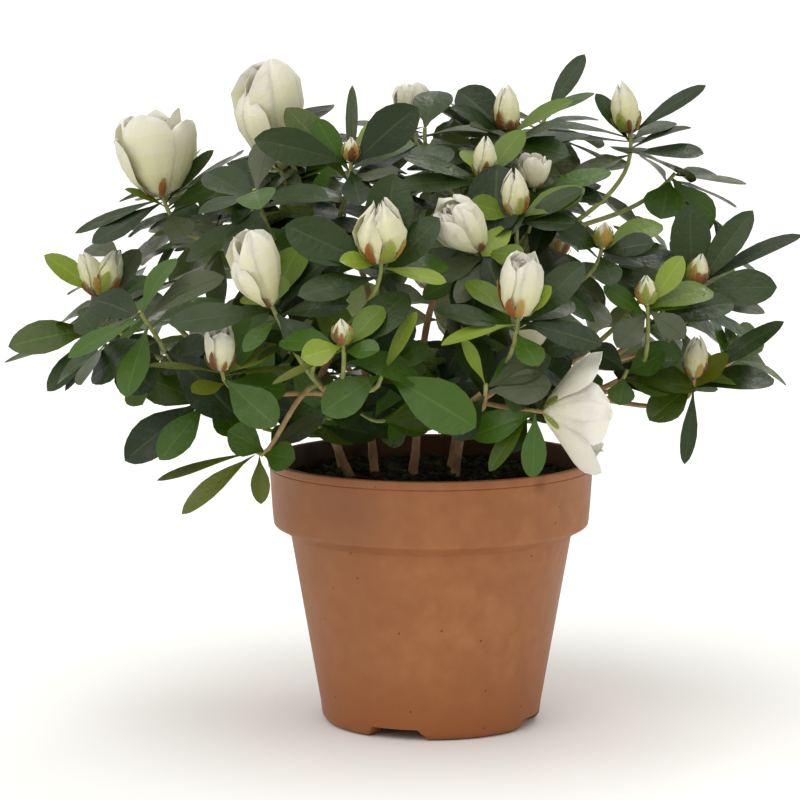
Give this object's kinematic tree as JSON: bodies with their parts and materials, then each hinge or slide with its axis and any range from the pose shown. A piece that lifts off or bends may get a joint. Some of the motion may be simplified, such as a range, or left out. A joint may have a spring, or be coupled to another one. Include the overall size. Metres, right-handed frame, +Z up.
{
  "type": "potted azalea shrub",
  "caption": "Small azalea shrub in a moulded nursery pot: stems, boughs and a rounded crown of leaf whorls with cream buds and blossoms.",
  "frame": {"origin": "on the surface that the pot stands on, under the middle of the whole shrub's breadth and depth", "axes": "+Z up, -Y towards the viewer of the picture, +X to the viewer's right"},
  "size_m": [0.2846, 0.2798, 0.2492],
  "materials": {
    "pot_plastic": "matt moulded plastic in terracotta brown, slightly mottled",
    "peat": "moist dark peat with small crumbs",
    "bark": "thin tan bark, greener on young twigs",
    "foliage": "leathery dark green leaves with a soft gloss, and cream blossoms"
  },
  "bodies": {
    "root": {"pot": "pot_plastic", "root_ball": "peat", "stem_1": "bark", "stem_2": "bark", "stem_3": "bark", "stem_4": "bark", "stem_5": "bark", "stem_6": "bark", "bough_1": "bark", "bough_2": "bark", "bough_3": "bark", "bough_4": "bark", "bough_5": "bark", "bough_6": "bark", "bough_7": "bark", "bough_8": "bark", "bough_9": "bark", "bough_10": "bark", "bough_11": "bark", "bough_12": "bark", "bough_13": "bark", "bough_14": "bark", "leaf_mass_1": "foliage", "leaf_mass_2": "foliage", "leaf_mass_3": "foliage", "leaf_mass_4": "foliage", "leaf_mass_5": "foliage", "leaf_mass_6": "foliage", "leaf_mass_7": "foliage", "leaf_mass_8": "foliage", "leaf_mass_9": "foliage", "leaf_mass_10": "foliage", "leaf_mass_11": "foliage", "leaf_mass_12": "foliage", "leaf_mass_13": "foliage", "leaf_mass_14": "foliage"}
  },
  "joints": []
}
